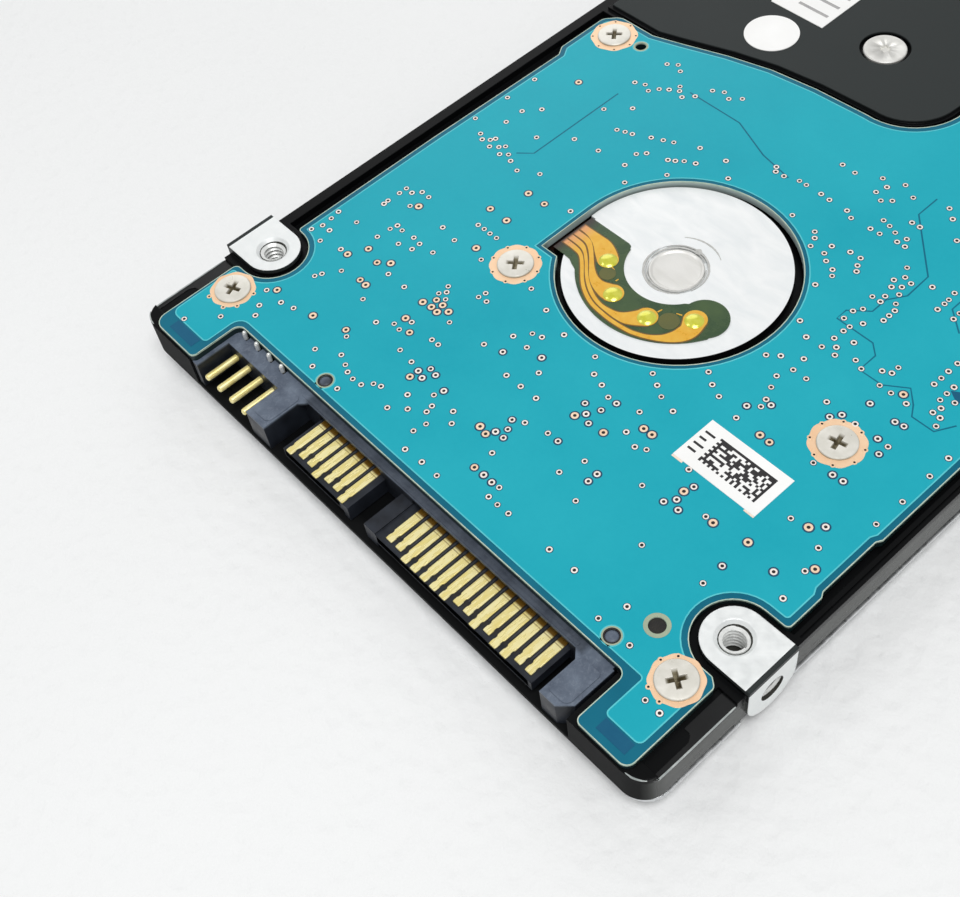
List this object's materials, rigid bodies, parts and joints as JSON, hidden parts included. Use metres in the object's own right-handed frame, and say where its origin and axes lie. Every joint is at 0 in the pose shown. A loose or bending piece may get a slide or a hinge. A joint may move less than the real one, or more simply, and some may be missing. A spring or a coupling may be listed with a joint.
{
  "type": "hard disk drive",
  "caption": "Slim 2.5-inch hard disk drive with a coated cast base, stamped cover, teal circuit board, edge connector, spinning platter and swinging head arm.",
  "frame": {"origin": "centre of the drive's footprint, on the outer face of the cover, which it rests on", "axes": "+X along the connector edge towards the power contacts, +Y from the connector edge to the rear edge, +Z out of the circuit-board side"},
  "size_m": [0.0698, 0.1, 0.007],
  "materials": {
    "base": "gloss black electrocoat on cast aluminium, bare machined bosses",
    "cover": "stamped sheet, satin",
    "gasket": "matt",
    "screw_steel": "plated",
    "label": "printed film",
    "board": "teal solder mask on glass-epoxy",
    "screw_nickel": "nickel plated",
    "chip": "moulded epoxy",
    "passives": "ceramic",
    "cream_plastic": "moulded",
    "connector_plastic": "moulded, fine grain",
    "gold": "gold plated",
    "machined": "fine turned",
    "flex": "polyimide with copper traces",
    "solder": "tinned and lacquered",
    "core_steel": "laminated",
    "copper": "enamelled wire",
    "bronze": "sintered",
    "polished_steel": "ground",
    "magnet": "nickel plated",
    "platter_film": "mirror finish",
    "spring_steel": "thin sheet",
    "polyimide": "amber film",
    "yoke_steel": "nickel plated",
    "black_rubber": "matt",
    "filter_felt": "non-woven",
    "carbon_felt": "activated carbon pad"
  },
  "bodies": {
    "root": {"base_casting": "base", "top_cover": "cover", "cover_gasket": "gasket", "cover_screws": "screw_steel", "cover_label": "label", "circuit_board": "board", "board_screws": "screw_nickel", "controller_chip": "chip", "motor_driver_chip": "chip", "memory_chip": "chip", "board_passives": "passives", "head_connector": "cream_plastic", "sata_housing": "connector_plastic", "signal_pins": "gold", "power_pins": "gold", "jumper_pins": "gold", "matrix_label": "label", "servo_port_seal": "label", "info_label": "label", "motor_flange": "machined", "bearing_cap": "machined", "motor_flex": "flex", "flex_solder_joints": "solder", "stator_core": "core_steel", "stator_coils": "copper", "bearing_sleeve": "bronze", "pivot_shaft": "polished_steel", "pivot_screw": "screw_steel", "head_flex": "polyimide", "flex_bracket": "cream_plastic", "vcm_yoke_lower": "yoke_steel", "vcm_yoke_upper": "yoke_steel", "vcm_magnets": "magnet", "vcm_posts": "yoke_steel", "crash_stops": "black_rubber", "load_ramp": "cream_plastic", "ramp_screw": "screw_steel", "latch_pin": "screw_steel", "recirculation_filter": "filter_felt", "breather_filter": "carbon_felt"},
    "spindle": {"rotor_hub": "machined", "rotor_magnet": "magnet", "spindle_shaft": "polished_steel", "platter": "platter_film", "disk_clamp": "machined", "clamp_screw": "screw_steel"},
    "actuator": {"actuator_arm": "machined", "pivot_bearings": "polished_steel", "voice_coil": "copper", "head_suspensions": "spring_steel", "head_sliders": "chip", "preamp_chip": "chip"},
    "latch": {"actuator_latch": "cream_plastic"}
  },
  "joints": [
    {"name": "spindle_spin", "type": "hinge", "parent": "root", "child": "spindle", "pos_m": [0, -0.0102, 0.0026], "axis": [0, 0, 1], "continuous": true},
    {"name": "actuator_swing", "type": "hinge", "parent": "root", "child": "actuator", "pos_m": [-0.0054, 0.0274, 0.0026], "axis": [0, 0, 1], "range_deg": [-36, 0]},
    {"name": "latch_swing", "type": "hinge", "parent": "root", "child": "latch", "pos_m": [-0.0275, 0.0245, 0.0026], "axis": [0, 0, 1], "range_deg": [-6, 6]}
  ]
}
